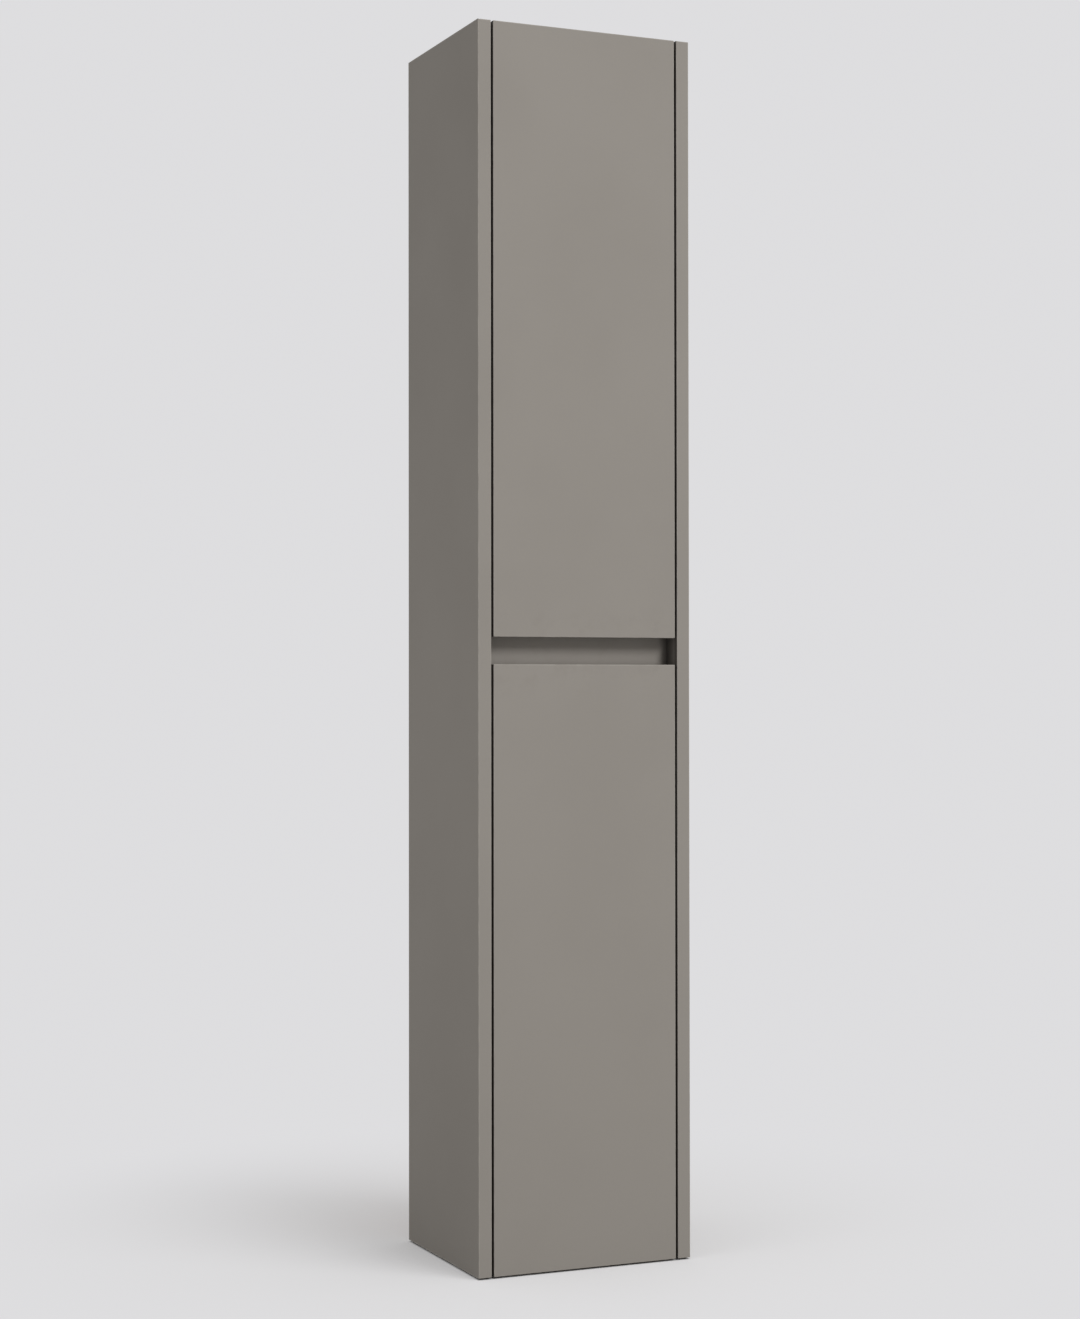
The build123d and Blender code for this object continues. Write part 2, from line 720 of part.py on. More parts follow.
# Wall hooks: housings, hooks, covers and the plates that are screwed to the wall
hook_low_z = lip_top
hook_y_end = -hook_rest
outer_x = inner_x - hanger_width - hanger_slack - hanger_cover_wall
cover_front_y = hanger_front_y - hanger_slack - hanger_cover_wall
for name, end in (("left", -1), ("right", 1)):
    hook_x = end * (inner_x - hook_inset)
    body_x = end * (inner_x - hanger_width / 2)
    hook_face = Plane.YZ.offset(hook_x)
    with BuildPart() as hanger_body:
        with BuildSketch(Plane.XY.offset(hanger_low)):
            with Locations((body_x, (hanger_front_y + hanger_back_y) / 2)):
                Rectangle(hanger_width, hanger_depth)
        extrude(amount=hanger_height)
        fillet(hanger_body.edges().filter_by(Axis.Z).group_by(Axis.Y)[0], edge_round)
        with BuildSketch(hook_face):
            with Locations((hook_y_end - hook_length / 2, hook_z)):
                Rectangle(hook_length + 2 * hanger_slack, hook_height + 2 * hanger_slack)
        extrude(amount=hook_thickness / 2 + hanger_slack, both=True, mode=Mode.SUBTRACT)
        with BuildSketch(Plane.XZ.offset(-hanger_front_y)):
            with Locations(*[(body_x, hanger_low + rise) for rise in adjuster_rises]):
                Circle(adjuster_radius + fitting_slack)
        extrude(amount=-(adjuster_length + dowel_end_slack), mode=Mode.SUBTRACT)
        with BuildSketch(Plane.YZ.offset(end * inner_x)):
            with Locations(*hanger_screw_places):
                Circle(hanger_screw_radius + fitting_slack)
        extrude(amount=-end * hanger_width, mode=Mode.SUBTRACT)
    finish(hanger_body, f"{name}_hanger_body")

    with BuildPart() as hanger_hook:
        with BuildSketch(hook_face):
            with BuildLine():
                Polyline(
                    (hook_y_end - hook_length, hook_low_z),
                    (hook_y_end - hook_length, hook_low_z + hook_height),
                    (hook_y_end, hook_low_z + hook_height),
                    (hook_y_end, hook_low_z - hook_drop),
                    (hook_y_end - hook_thickness, hook_low_z - hook_drop),
                    (hook_y_end - hook_thickness, hook_low_z),
                    close=True,
                )
            make_face()
        extrude(amount=hook_thickness / 2, both=True)
    finish(hanger_hook, f"{name}_hanger_hook")

    with BuildPart() as hanger_cover:
        with BuildSketch(Plane.XY.offset(hanger_low - hanger_slack - hanger_cover_wall)):
            with Locations((end * (inner_x + outer_x) / 2, (cover_front_y + hanger_back_y) / 2)):
                Rectangle(inner_x - outer_x, hanger_back_y - cover_front_y)
        extrude(amount=hanger_height + hanger_slack + 2 * hanger_cover_wall)
        fillet(hanger_cover.edges().filter_by(Axis.Z).group_by(Axis.Y)[0], edge_round)
        with BuildSketch(Plane.XY.offset(hanger_low - hanger_slack)):
            with Locations((body_x - end * hanger_slack / 2, (hanger_front_y + hanger_back_y) / 2)):
                Rectangle(
                    hanger_width + hanger_slack + 2 * fitting_slack,
                    hanger_depth + 2 * hanger_slack,
                )
        extrude(amount=hanger_height + 2 * hanger_slack, mode=Mode.SUBTRACT)
    finish(hanger_cover, f"{name}_hanger_cover")

    with BuildPart() as wall_plate:
        with BuildSketch(Plane.YZ.offset(end * wall_plate_x)):
            with BuildLine():
                Polyline(
                    (0, -wall_plate_low),
                    (0, wall_plate_high),
                    (-lip_offset, wall_plate_high),
                    (-lip_offset, lip_top),
                    (-lip_offset - wall_plate_thickness, lip_top),
                    (-lip_offset - wall_plate_thickness, wall_plate_high - wall_plate_thickness),
                    (-wall_plate_thickness, wall_plate_high - wall_plate_thickness),
                    (-wall_plate_thickness, -wall_plate_low),
                    close=True,
                )
            make_face()
        extrude(amount=wall_plate_width / 2, both=True)
        with BuildSketch(Plane.XZ):
            with Locations(*[(end * wall_plate_x, step * wall_screw_spacing_z / 2)
                             for step in (-1, 1)]):
                Circle(wall_screw_radius)
        extrude(amount=wall_plate_thickness, mode=Mode.SUBTRACT)
    finish(wall_plate, f"wall_plate_{name}")

with BuildPart() as hanger_screws:
    for end in (-1, 1):
        for line, height in hanger_screw_places:
            add_countersunk_screw(
                Plane((end * (inner_x - hanger_width), line, height), z_dir=(end, 0, 0)),
                hanger_screw_radius - fitting_slack,
                hanger_screw_radius,
                hanger_width + hanger_screw_depth,
            )
finish(hanger_screws, "hanger_screws")

with BuildPart() as hanger_adjusters:
    for end in (-1, 1):
        for rise in adjuster_rises:
            spot = (end * (inner_x - hanger_width / 2), hanger_front_y, hanger_low + rise)
            add_countersunk_screw(
                Plane(spot, z_dir=(0, 1, 0)),
                adjuster_radius - fitting_slack,
                adjuster_radius,
                adjuster_length,
            )
finish(hanger_adjusters, "hanger_adjusters")
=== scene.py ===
import json
import math

import bmesh
import bpy
from mathutils import Matrix, Vector

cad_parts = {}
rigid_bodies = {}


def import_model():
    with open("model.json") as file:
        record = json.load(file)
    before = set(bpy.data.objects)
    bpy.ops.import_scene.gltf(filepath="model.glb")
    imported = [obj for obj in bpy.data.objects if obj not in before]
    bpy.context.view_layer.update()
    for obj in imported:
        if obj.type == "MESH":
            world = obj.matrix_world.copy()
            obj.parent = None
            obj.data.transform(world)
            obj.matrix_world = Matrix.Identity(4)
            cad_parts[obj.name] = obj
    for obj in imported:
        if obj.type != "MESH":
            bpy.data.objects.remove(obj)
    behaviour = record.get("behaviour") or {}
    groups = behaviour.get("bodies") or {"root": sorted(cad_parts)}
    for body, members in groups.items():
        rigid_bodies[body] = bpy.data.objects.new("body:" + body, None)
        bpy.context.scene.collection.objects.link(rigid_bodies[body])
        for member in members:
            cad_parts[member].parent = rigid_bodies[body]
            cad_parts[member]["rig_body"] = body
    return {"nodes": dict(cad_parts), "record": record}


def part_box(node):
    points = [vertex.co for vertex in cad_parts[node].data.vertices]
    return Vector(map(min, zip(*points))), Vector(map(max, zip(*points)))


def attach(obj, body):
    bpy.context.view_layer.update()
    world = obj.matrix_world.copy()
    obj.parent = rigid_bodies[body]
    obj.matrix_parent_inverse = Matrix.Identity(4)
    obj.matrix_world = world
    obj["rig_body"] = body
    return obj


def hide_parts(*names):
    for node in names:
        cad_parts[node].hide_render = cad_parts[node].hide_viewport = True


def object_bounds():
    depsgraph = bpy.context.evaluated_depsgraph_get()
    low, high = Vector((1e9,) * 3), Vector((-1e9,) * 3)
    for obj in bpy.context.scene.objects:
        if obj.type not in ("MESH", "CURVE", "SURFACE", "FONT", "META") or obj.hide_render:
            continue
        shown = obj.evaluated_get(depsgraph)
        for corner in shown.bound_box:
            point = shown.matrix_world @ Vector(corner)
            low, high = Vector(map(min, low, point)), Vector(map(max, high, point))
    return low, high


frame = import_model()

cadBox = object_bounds()
nodes = frame["nodes"]
slots = {part["node"]: part["material_slot"] for part in frame["record"]["subparts"]}
places = ("lower_low", "lower_top", "upper_low", "upper_top")  # of the hinges
print("frame loaded:", len(nodes), "nodes")


def tone(red, green, blue):
    # A screen colour, 0 to 255, as the linear colour that Blender's sockets take
    def linear(value):
        value /= 255
        return value / 12.92 if value <= 0.04045 else ((value + 0.055) / 1.055) ** 2.4

    return (linear(red), linear(green), linear(blue), 1.0)


class Wire:
    # One socket of a finish; sums, differences and products of wires add their Math nodes

    def __init__(self, finish, socket):
        self.finish = finish
        self.socket = socket

    def math(self, operation, *values):
        return self.finish.node(
            "ShaderNodeMath", {"operation": operation}, dict(enumerate(values))
        )

    def other(self, name):  # another output of the same node
        return Wire(self.finish, self.socket.node.outputs[name])

    def __add__(self, value):
        return self.math("ADD", self, value)

    def __radd__(self, value):
        return self.math("ADD", value, self)

    def __sub__(self, value):
        return self.math("SUBTRACT", self, value)

    def __rsub__(self, value):
        return self.math("SUBTRACT", value, self)

    def __mul__(self, value):
        return self.math("MULTIPLY", self, value)

    def __rmul__(self, value):
        return self.math("MULTIPLY", value, self)

    def __abs__(self):
        return self.math("ABSOLUTE", self)

    def sine(self):
        return self.math("SINE", self)

    def root(self):
        return self.math("SQRT", self)

    def least(self, value):
        return self.math("MINIMUM", self, value)

    def most(self, value):
        return self.math("MAXIMUM", self, value)

    def step(self, low, high):  # 0 below low, 1 above high, smooth between them
        return self.finish.node(
            "ShaderNodeMapRange",
            {"interpolation_type": "SMOOTHSTEP"},
            {"Value": self, "From Min": low, "From Max": high},
        )

    def between(self, start, end):  # start where the wire is 0, end where it is 1
        return self.finish.node(
            "ShaderNodeMapRange", {}, {"Value": self, "To Min": start, "To Max": end}
        )

    def colours(self, first, second):  # the wire mixes two; 6, 7 and 2 are its colour sockets
        return self.finish.node(
            "ShaderNodeMix", {"data_type": "RGBA"}, {0: self, 6: first, 7: second}, 2
        )


class Finish:
    # The nodes of one material, or of the world

    def __init__(self, owner):
        owner.use_nodes = True
        self.owner = owner
        self.tree = owner.node_tree
        self.tree.nodes.clear()

    def node(self, kind, settings, inputs, output=0):
        made = self.tree.nodes.new(kind)
        for key, value in settings.items():
            setattr(made, key, value)
        for key, value in inputs.items():
            if isinstance(value, Wire):
                self.tree.links.new(value.socket, made.inputs[key])
            else:
                made.inputs[key].default_value = value
        return Wire(self, made.outputs[output]) if made.outputs else None

    def axes(self):
        x = self.node("ShaderNodeSeparateXYZ", {}, {0: self.place}, "X")
        return x, x.other("Y"), x.other("Z")

    def noise(self, scale, detail, roughness=0.5, stretch=None):  # scale is marks a metre
        place = self.place
        if stretch:
            place = self.node("ShaderNodeMapping", {}, {"Vector": place, "Scale": stretch})
        return self.node(
            "ShaderNodeTexNoise",
            {},
            {"Vector": place, "Scale": scale, "Detail": detail, "Roughness": roughness},
            "Fac",
        )

    def seen(self):  # 1 for the camera, mirrors and glass, 0 for the light on the cabinet
        rays = self.node("ShaderNodeLightPath", {}, {}, "Is Camera Ray")
        return rays.most(rays.other("Is Glossy Ray")).most(rays.other("Is Transmission Ray"))

    def surface(self, colour, roughness, height, look):
        normal = self.node(
            "ShaderNodeBump",
            {},
            {"Strength": look["bump"], "Distance": look["relief"], "Height": height},
        )
        inputs = {"Base Color": colour, "Roughness": roughness, "Normal": normal}
        self.close(self.node("ShaderNodeBsdfPrincipled", {}, {**inputs, **look["shader"]}))
        return self.owner

    def close(self, shader, kind="ShaderNodeOutputMaterial"):
        self.node(kind, {}, {"Surface": shader})


def newFinish(name):
    finish = Finish(bpy.data.materials.new(name))
    finish.place = finish.node("ShaderNodeTexCoord", {}, {}, "Object")  # in metres
    return finish


def dress(names, material):
    for name in names:
        nodes[name].data.materials.clear()
        nodes[name].data.materials.append(material)


# Boards: matt taupe lacquer, worn pale along the arrises with a painted highlight there too, with
# the raw core in bores and grooves and painted shade in the door gaps and the recess.
# A noise is its marks a metre, its detail and its roughness. A mark's start and end are in metres
lacquer = {
    "colour": tone(150, 144.8, 138.4),
    "patch": tone(146, 140.8, 134.4),
    "clouds": (5, 3),
    "mottle": (260, 3, 0.6),
    "roughness": 0.68,
    "smudges": (9, 4),
    "smudged": 0.05,  # what they change the roughness by
    "peel": (900, 2),  # ripples of the sprayed coat
    "grain": (2600, 2),
    # the pale arris colour is partly wear and partly a painted highlight
    "wornAndHighlit": tone(172, 167, 160),
    "wornAndHighlitBy": 0.8,
    "wearAndHighlight": (55, 4),
    "wearAndHighlightFrom": 0.38,  # where it is least
    "arris": (0.0005, 0.0015),
    "rubbedAndHighlit": 0.08,  # how much smoother an arris is
    "core": tone(170, 136, 99),
    "fibre": tone(141, 106, 72),
    "fibres": (900, 4, 0.7),
    "chips": (1500, 4),
    "skin": (0.0005, 0.0008),  # deeper than this, a bore or groove is bare
    "raw": 0.4,  # and this much rougher
    "touched": tone(132, 126, 119),
    "touchedBy": 0.3,
    "prints": (38, 4, 0.6),
    "fingers": (0.02, 0.075),  # above and below the middle of the recess
    "polished": 0.12,  # how much smoother fingers make the coat
    "joint": tone(58, 55, 52),
    "jointLine": (0.0001, 0.0007),
    # a darker tone painted into the door gaps, the recess corners and low on the handle rail:
    # painted shade
    "shadeTone": tone(82, 78, 74),
    "paintedShade": (26, 4),
    "paintedShadeDepth": (0.75, 1.05),
    "recess": (0.0165, 0.022),  # above and below its middle
    "gapFace": (0.0001, 0.0005),
    "gapFront": (0.0002, 0.0009),  # these four are behind the cabinet's front
    "gapRear": (0.006, 0.010),
    "toRail": (-0.012, 0.030),
    "atRail": (0.030, 0.0304),
    "railEnd": (-0.002, 0.013),
    "railLow": (0, 0.016),  # above the middle of the recess
    "lowShade": 0.12,  # how much painted shade darkens the handle rail below that
    "bump": 0.14,
    "relief": 0.0003,
    "shader": {"Specular IOR Level": 0.25},
}
jointed = ("top_panel", "bottom_panel", "middle_shelf", "handle_rail")
handled = ("upper_door", "lower_door", "handle_rail")
gapped = ("upper_door", "lower_door", "left_side_panel", "right_side_panel")
middleHeight = (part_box("lower_door")[1].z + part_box("upper_door")[0].z) / 2  # of the recess


def boardFinish(name):
    low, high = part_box(name)
    middle, half = (low + high) / 2, (high - low) / 2
    finish = newFinish(f"{name} lacquer")
    x, y, z = finish.axes()
    inX = half.x - abs(x - middle.x)
    inY = half.y - abs(y - middle.y)
    inZ = half.z - abs(z - middle.z)
    depth = inX.least(inY).least(inZ)
    toArris = inX.least(inY).most(inX.most(inY).least(inZ))  # the middle one of the three

    clouds = finish.noise(*lacquer["clouds"]).step(0.35, 0.7)
    mottle = finish.noise(*lacquer["mottle"])
    coat = (clouds * 0.6 + mottle * 0.4).colours(lacquer["colour"], lacquer["patch"])
    wearAndHighlight = finish.noise(*lacquer["wearAndHighlight"]).step(0.35, 0.65).between(lacquer["wearAndHighlightFrom"], 1)
    # pale arrises: partly wear, partly a painted highlight along the edges
    rubbedAndHighlit = (1 - toArris.step(*lacquer["arris"])) * wearAndHighlight
    coat = (rubbedAndHighlit * lacquer["wornAndHighlitBy"]).colours(coat, lacquer["wornAndHighlit"])
    core = finish.noise(*lacquer["fibres"]).colours(lacquer["core"], lacquer["fibre"])
    bare = depth.step(*lacquer["skin"])
    colour = bare.colours(coat, core)

    smudges = finish.noise(*lacquer["smudges"]).between(-lacquer["smudged"], lacquer["smudged"])
    rough = lacquer["roughness"] + smudges - lacquer["rubbedAndHighlit"] * rubbedAndHighlit + bare * lacquer["raw"]
    sprayed = finish.noise(*lacquer["peel"]) * 0.7 + finish.noise(*lacquer["grain"]) * 0.3
    height = sprayed + bare * finish.noise(*lacquer["chips"]) * 2

    fromMiddle = abs(z - middleHeight)
    beside = 1 - fromMiddle.step(*lacquer["recess"])  # 1 at the height of the recess
    if name in handled:  # fingers polish and darken the coat a little there
        prints = finish.noise(*lacquer["prints"]).step(0.45, 0.75)
        touched = (1 - fromMiddle.step(*lacquer["fingers"])) * prints
        colour = (touched * lacquer["touchedBy"]).colours(colour, lacquer["touched"])
        rough = rough - lacquer["polished"] * touched
    if name in gapped:  # painted shade greys the coat inside the narrow gaps beside the doors
        fromFront = y - cadBox[0].y
        fromFace = inX if "door" in name else abs(x) - min(abs(low.x), abs(high.x))
        face = 1 - fromFace.step(*lacquer["gapFace"])
        gap = fromFront.step(*lacquer["gapFront"]) * (1 - fromFront.step(*lacquer["gapRear"]))
        paintedShade = face * gap
        if "panel" in name:  # and the painted shade deepens towards the corner of a side panel and the rail
            toRail = fromFront.step(*lacquer["toRail"]) * (1 - fromFront.step(*lacquer["atRail"]))
            paintedShade = paintedShade.most(face * beside * toRail)
        paintedShade = paintedShade * finish.noise(*lacquer["paintedShade"]).between(*lacquer["paintedShadeDepth"])
        # the gaps and corners get a painted shade in this darker tone
        colour = paintedShade.colours(colour, lacquer["shadeTone"])
    if name == "handle_rail":  # in the recess, painted shade darkens the corners and a little low down
        lowShade = lacquer["lowShade"] * (1 - (z - middleHeight).step(*lacquer["railLow"]))
        paintedShade = (1 - inX.step(*lacquer["railEnd"])).most(lowShade) * beside
        # painted shade in the rail's corners and its low part
        colour = paintedShade.colours(colour, lacquer["shadeTone"])
    if name in jointed:  # a fine dark line where a board's end meets a side panel
        colour = (1 - inX.step(*lacquer["jointLine"])).colours(colour, lacquer["joint"])
    return finish.surface(colour, rough, height, lacquer)


for board, slot in slots.items():
    if slot == "lacquered_board":
        dress([board], boardFinish(board))
print("boards finished")

# Back boards: the same taupe inside, bare brown hardboard with its mesh print behind
hardboard = {
    "front": tone(145, 140, 134),
    "fleck": tone(141, 136, 130),
    "flecks": (240, 3),
    "foil": (1100, 2),  # the grain of the taupe in front
    "skin": (0.0005, 0.0008),  # how deep the taupe is, in metres
    "rear": tone(140, 104, 70),
    "dark": tone(108, 76, 48),
    "fibres": (420, 5, 0.65),
    "pitch": 0.0022,  # metres between the threads of the mesh
    "roughness": (0.5, 0.78),  # in front and behind
    "smudges": (12, 3),
    "smudged": 0.04,
    "bump": 0.2,
    "relief": 0.0003,
    "shader": {"Specular IOR Level": 0.35},
}


def backFinish(name):
    finish = newFinish(f"{name} hardboard")
    x, y, z = finish.axes()
    rear = y.step(*(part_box(name)[0].y + depth for depth in hardboard["skin"]))
    turns = 2 * math.pi / hardboard["pitch"]
    mesh = (x * turns).sine() * (z * turns).sine()
    fibres = finish.noise(*hardboard["fibres"])
    brown = (fibres * 0.7 + mesh * 0.15 + 0.15).colours(hardboard["rear"], hardboard["dark"])
    inside = finish.noise(*hardboard["flecks"]).colours(hardboard["front"], hardboard["fleck"])
    smudges = finish.noise(*hardboard["smudges"])
    smudges = smudges.between(-hardboard["smudged"], hardboard["smudged"])
    rough = rear.between(*hardboard["roughness"]) + smudges
    foil = finish.noise(*hardboard["foil"])
    height = rear * (mesh * 0.5 + fibres) + (1 - rear) * foil * 0.5
    return finish.surface(rear.colours(inside, brown), rough, height, hardboard)


for board in ("lower_back_board", "upper_back_board"):
    dress([board], backFinish(board))

# Metals: colour, its duller patches, roughness, and the marks a metre of the fine scratches
metals = {
    "nickelled steel": {
        "colour": tone(205, 201, 193), "dull": tone(172, 168, 160),
        "roughness": 0.26, "scratches": 900,
    },
    "spring steel": {
        "colour": tone(170, 173, 178), "dull": tone(118, 122, 130),
        "roughness": 0.3, "scratches": 1400,
    },
    "zinc plate": {
        "colour": tone(198, 203, 206), "dull": tone(176, 172, 150),
        "roughness": 0.34, "scratches": 1100,
    },
    "zinc casting": {
        "colour": tone(158, 159, 160), "dull": tone(124, 124, 126),
        "roughness": 0.52, "scratches": 500,
    },
}
metalSkin = {
    "clouds": (70, 4, 0.6),
    "clouded": 0.1,  # how much rougher they are
    "specks": (1600, 3, 0.7),
    "scratches": (3, 0.6, (1, 1, 0.06)),  # detail, roughness and the way they run
    "scratched": 0.06,  # what they change the roughness by
    "bump": 0.12,
    "relief": 0.0001,
    "shader": {"Metallic": 1.0},
}


def metalFinish(name):
    metal = metals[name]
    finish = newFinish(name)
    clouds = finish.noise(*metalSkin["clouds"]).step(0.35, 0.75)
    specks = finish.noise(*metalSkin["specks"])
    scratches = finish.noise(metal["scratches"], *metalSkin["scratches"])
    colour = (clouds * 0.5 + specks * 0.25).colours(metal["colour"], metal["dull"])
    rough = metal["roughness"] + clouds * metalSkin["clouded"]
    rough = rough + scratches.between(-metalSkin["scratched"], metalSkin["scratched"])
    return finish.surface(colour, rough, scratches * 0.6 + specks * 0.4, metalSkin)


steel = metalFinish("nickelled steel")
spring = metalFinish("spring steel")
zinc = metalFinish("zinc plate")
casting = metalFinish("zinc casting")
for place in places:
    dress([f"hinge_arm_{place}", f"hinge_plate_{place}", f"hinge_cup_{place}"], steel)
    dress([f"hinge_spring_{place}"], spring)
dress(["upper_hinge_pins", "lower_hinge_pins"], spring)
dress(["upper_cup_screws", "lower_cup_screws", "plate_screws", "arm_screws"], zinc)
dress(["cam_bolts", "hanger_screws", "hanger_adjusters"], zinc)
dress(["left_hanger_hook", "right_hanger_hook", "wall_plate_left", "wall_plate_right"], zinc)
dress(["cam_locks", "left_hanger_body", "right_hanger_body"], casting)
dress(["shelf_pins"], steel)

# Moulded plastics: a fine spark-eroded skin
plastics = {
    "taupe plastic": {
        "colour": tone(146, 141, 135), "deep": tone(138, 133, 127), "roughness": 0.45,
    },
    "grey plastic": {
        "colour": tone(122, 121, 119), "deep": tone(112, 111, 109), "roughness": 0.5,
    },
}
plasticSkin = {
    "clouds": (40, 3),
    "clouded": 0.06,
    "pits": (2400, 2, 0.6),
    "bump": 0.25,
    "relief": 0.0001,
    "shader": {},
}


def plasticFinish(name):
    plastic = plastics[name]
    finish = newFinish(name)
    clouds = finish.noise(*plasticSkin["clouds"])
    pits = finish.noise(*plasticSkin["pits"])
    colour = (clouds * 0.5 + pits * 0.5).colours(plastic["colour"], plastic["deep"])
    clouded = clouds.between(-plasticSkin["clouded"], plasticSkin["clouded"])
    return finish.surface(colour, plastic["roughness"] + clouded, pits, plasticSkin)


dress(["cam_caps", "left_hanger_cover", "right_hanger_cover"], plasticFinish("taupe plastic"))
dress(["door_stops"], plasticFinish("grey plastic"))

# Clear soft pads on the door stops
softPad = {
    "colour": tone(226, 226, 222),
    "milky": tone(206, 206, 202),
    "clouds": (300, 3),
    "clouded": 0.12,
    "roughness": 0.3,
    "skin": (900, 2),
    "bump": 0.15,
    "relief": 0.0001,
    "shader": {"Transmission Weight": 0.55, "IOR": 1.42},
}
padFinish = newFinish("soft pad")
clouds = padFinish.noise(*softPad["clouds"])
dress(["stop_pads"], padFinish.surface(
    clouds.colours(softPad["colour"], softPad["milky"]),
    softPad["roughness"] + clouds * softPad["clouded"],
    padFinish.noise(*softPad["skin"]), softPad,
))

# Beech dowels, with the grain along them
beech = {
    "pale": tone(214, 180, 138),
    "dark": tone(176, 133, 90),
    "grain": (700, 5, 0.6, (0.08, 1, 1)),  # stretched along X
    "flecks": (1800, 3, 0.7, (0.15, 1, 1)),
    "roughness": 0.62,
    "grained": 0.15,
    "bump": 0.3,
    "relief": 0.0002,
    "shader": {},
}
beechFinish = newFinish("beech")
grain = beechFinish.noise(*beech["grain"])
flecks = beechFinish.noise(*beech["flecks"]).step(0.55, 0.7)
dress(["dowels"], beechFinish.surface(
    (grain * 0.8 + flecks * 0.2).colours(beech["pale"], beech["dark"]),
    beech["roughness"] + grain * beech["grained"],
    grain, beech,
))
print("fittings finished")

# Fittings with softened edges, in place of the sharp CAD ones:
# width of the rounding in metres, and its segments
roundings = {
    "cam_caps": (0.0007, 4),
    "stop_pads": (0.0010, 5),
    "door_stops": (0.0007, 3),
    "shelf_pins": (0.0005, 3),
    "left_hanger_cover": (0.0008, 3),
    "right_hanger_cover": (0.0008, 3),
    "left_hanger_body": (0.0006, 2),
    "right_hanger_body": (0.0006, 2),
    "left_hanger_hook": (0.0004, 2),
    "right_hanger_hook": (0.0004, 2),
    "wall_plate_left": (0.0004, 3),
    "wall_plate_right": (0.0004, 3),
    "plate_screws": (0.0003, 2),
    "arm_screws": (0.0003, 2),
    "hanger_screws": (0.0002, 2),
    "hanger_adjusters": (0.0002, 2),
    "upper_cup_screws": (0.0002, 2),
    "lower_cup_screws": (0.0002, 2),
    "upper_hinge_pins": (0.0003, 2),
    "lower_hinge_pins": (0.0003, 2),
}
for place in places:
    roundings[f"hinge_arm_{place}"] = (0.0004, 2)
    roundings[f"hinge_plate_{place}"] = (0.0005, 3)
    roundings[f"hinge_cup_{place}"] = (0.0003, 2)
    roundings[f"hinge_spring_{place}"] = (0.0001, 2)
softening = {
    "merge": 0.000001,
    "flat": math.radians(1),  # faces that turn by less are joined
    "sharp": math.radians(30),  # edges that turn by more are rounded
    "crisp": math.radians(35),  # and what turns by more after that is shaded crisp
    "housingEdge": 0.002,  # edges of a hook's housing that are shorter stay sharp
}
coverPanel = {"border": 0.0022, "slope": 0.0004, "sunk": 0.0004}


def roundOff(name, width, segments):
    shortest = softening["housingEdge"] if name.endswith("hanger_body") else 0
    mesh = bmesh.new()
    mesh.from_mesh(nodes[name].data)
    bmesh.ops.remove_doubles(mesh, verts=mesh.verts, dist=softening["merge"])
    bmesh.ops.dissolve_limit(
        mesh, angle_limit=softening["flat"], verts=mesh.verts, edges=mesh.edges
    )
    arrises = [
        edge for edge in mesh.edges
        if edge.is_convex
        and edge.calc_face_angle() > softening["sharp"]
        and edge.calc_length() > shortest
    ]
    bmesh.ops.bevel(
        mesh, geom=arrises, offset=width, segments=segments, profile=0.5,
        affect="EDGES", material=-1, clamp_overlap=True,
    )
    if name.endswith("cover"):  # a shallow sunk panel on the front of a moulded cover
        fronts = [face for face in mesh.faces if face.normal.y < -0.99]
        front = max(fronts, key=lambda face: face.calc_area())
        bmesh.ops.inset_region(
            mesh, faces=[front], thickness=coverPanel["border"], depth=0,
            use_even_offset=True,
        )
        bmesh.ops.inset_region(
            mesh, faces=[front], thickness=coverPanel["slope"], depth=-coverPanel["sunk"],
            use_even_offset=True,
        )
    data = bpy.data.meshes.new(f"{name}_rounded")
    mesh.to_mesh(data)
    mesh.free()
    for polygon in data.polygons:
        polygon.use_smooth = True
    data.set_sharp_from_angle(angle=softening["crisp"])
    data.materials.clear()
    data.materials.append(nodes[name].data.materials[0])
    piece = bpy.data.objects.new(f"{name}_rounded", data)
    bpy.context.scene.collection.objects.link(piece)
    even = piece.modifiers.new("even shading", "WEIGHTED_NORMAL")
    even.keep_sharp = True
    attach(piece, nodes[name]["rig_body"])
    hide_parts(name)


for name, rounding in roundings.items():
    roundOff(name, *rounding)
print("fittings softened:", len(roundings))

# Floor: pale, with the cabinet's shadow near the base and the backdrop's tone further out.
# Its fades are in metres from the middle of the cabinet's back
backdrop = tone(222, 221.6, 223.4)
floorLook = {
    "level": cadBox[0].z - 0.0022,  # the space between shows as a dark line
    "radius": 14.0,
    "albedo": tone(245, 244.5, 246),
    "bounce": (tone(146, 145, 144), tone(190, 189, 188)),  # what the cabinet gets back from it
    "bounceFade": (0.2, 2.2),
    "shadow": 0.86,  # how much of the shadow the camera sees beside the cabinet
    "fade": (0.0, 0.88),
    "contact": 0.002,  # metres beyond the base where the shadow keeps its full depth
}
mesh = bmesh.new()
bmesh.ops.create_circle(mesh, cap_ends=True, segments=96, radius=floorLook["radius"])
bmesh.ops.translate(mesh, verts=mesh.verts, vec=(0, 0, floorLook["level"]))
floorMesh = bpy.data.meshes.new("floor")
mesh.to_mesh(floorMesh)
mesh.free()
floor = bpy.data.objects.new("floor", floorMesh)
bpy.context.scene.collection.objects.link(floor)

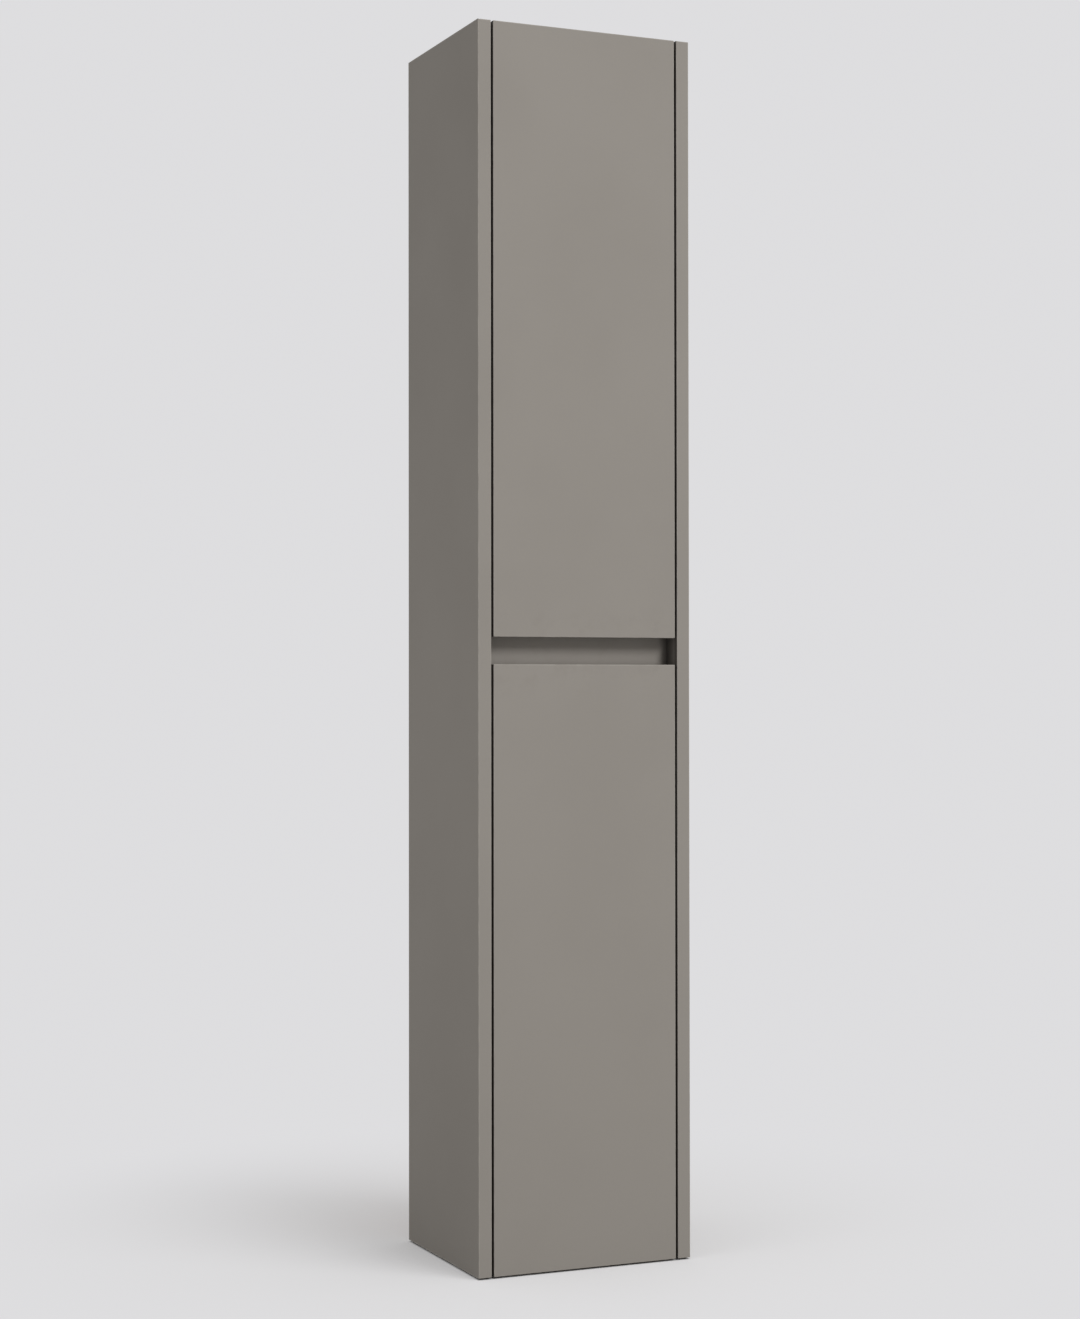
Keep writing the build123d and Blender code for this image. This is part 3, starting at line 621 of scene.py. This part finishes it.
floorFinish = newFinish("pale floor")
x, y, _ = floorFinish.axes()
reach = (x * x + y * y).root()
middle, half = (cadBox[0] + cadBox[1]) / 2, (cadBox[1] - cadBox[0]) / 2
outside = (abs(x - middle.x) - half.x).most(abs(y - middle.y) - half.y)
faded = 1 - floorLook["shadow"] * (1 - reach.step(*floorLook["fade"]))
plain = faded * outside.step(0, floorLook["contact"])
bounced = reach.step(*floorLook["bounceFade"]).colours(*floorLook["bounce"])
lit = floorFinish.node("ShaderNodeBsdfDiffuse", {}, {"Color": floorLook["albedo"]})
glow = floorFinish.node("ShaderNodeEmission", {}, {"Color": backdrop, "Strength": 1.0})
back = floorFinish.node("ShaderNodeBsdfDiffuse", {}, {"Color": bounced})
shown = floorFinish.node("ShaderNodeMixShader", {}, {0: plain, 1: lit, 2: glow})
floorFinish.close(
    floorFinish.node("ShaderNodeMixShader", {}, {0: floorFinish.seen(), 1: back, 2: shown})
)
floorMesh.materials.append(floorFinish.owner)

# Backdrop, and the even light that fills the shadows
fill = {"Color": tone(255, 254, 252), "Strength": 0.5}
world = bpy.data.worlds.new("studio")
bpy.context.scene.world = world
sky = Finish(world)
soft = sky.node("ShaderNodeBackground", {}, fill)
shown = sky.node("ShaderNodeBackground", {}, {"Color": backdrop, "Strength": 1.0})
sky.close(
    sky.node("ShaderNodeMixShader", {}, {0: sky.seen(), 1: soft, 2: shown}),
    "ShaderNodeOutputWorld",
)

# Lamps, each aimed at a point of the cabinet. Side is in degrees from straight in front towards
# its right, and distance and size are in metres. The last two light only the floor
lamps = {
    "key": {
        "side": 22, "height": 29.5, "distance": 12.0, "size": 4.2, "watts": 725,
        "aim": (0, -0.2, -0.7),
    },
    "low": {
        "side": 22, "height": -4, "distance": 5.0, "size": 0.4, "watts": 12,
        "aim": (0, -0.2, -0.95),
    },
    "left": {
        "side": -88, "height": 2, "distance": 1.6, "size": 0.8, "watts": 2.7,
        "aim": (-0.15, -0.15, -1.1),
    },
    "back": {
        "side": 162, "height": 20, "distance": 8.0, "size": 3.0, "watts": 260,
        "aim": (0, 0, -0.7),
    },
    "floor": {
        "side": 25, "height": 54, "distance": 5.0, "size": 2.6, "watts": 78,
        "aim": (0, 0, -1.5),
    },
    "floor left": {
        "side": -75, "height": 50, "distance": 5.0, "size": 3.0, "watts": 20,
        "aim": (0, 0, -1.5),
    },
}
for name, look in lamps.items():
    side, height = math.radians(look["side"]), math.radians(look["height"])
    away = Vector((
        math.sin(side) * math.cos(height), -math.cos(side) * math.cos(height), math.sin(height)
    ))
    light = bpy.data.lights.new(name, "AREA")
    light.shape = "DISK"
    light.size = look["size"]
    light.energy = look["watts"]
    lamp = bpy.data.objects.new(name, light)
    lamp.visible_camera = False
    lamp.location = Vector(look["aim"]) + away * look["distance"]
    lamp.rotation_euler = away.to_track_quat("Z", "Y").to_euler()
    bpy.context.scene.collection.objects.link(lamp)
    group = bpy.data.collections.new(f"{name} lamp and floor")
    group.objects.link(floor)
    linking = group.collection_objects[0].light_linking
    linking.link_state = "INCLUDE" if "floor" in name else "EXCLUDE"
    lamp.light_linking.receiver_collection = group
print("floor and light made")

# Camera: the photograph's, level with the cabinet's middle and to its left; angles in degrees
view = {
    "place": (-1.3618, -3.2150, -0.7950),
    "turn": 23.63,
    "tilt": 0.659,
    "roll": -0.06,
    "lens": 68.88,
    "sensor": 36,
}
turn, tilt, roll = (math.radians(view[angle]) for angle in ("turn", "tilt", "roll"))
ahead = Vector((math.sin(turn) * math.cos(tilt), math.cos(turn) * math.cos(tilt), math.sin(tilt)))
aimed = ahead.to_track_quat("-Z", "Y").to_matrix() @ Matrix.Rotation(roll, 3, "Z")
camera = bpy.data.objects.new("camera", bpy.data.cameras.new("camera"))
camera.data.lens = view["lens"]
camera.data.sensor_width = view["sensor"]
camera.location = view["place"]
camera.rotation_euler = aimed.to_euler()
bpy.context.scene.collection.objects.link(camera)
bpy.context.scene.camera = camera
bpy.context.scene.view_settings.view_transform = "Standard"

print("scene ready")
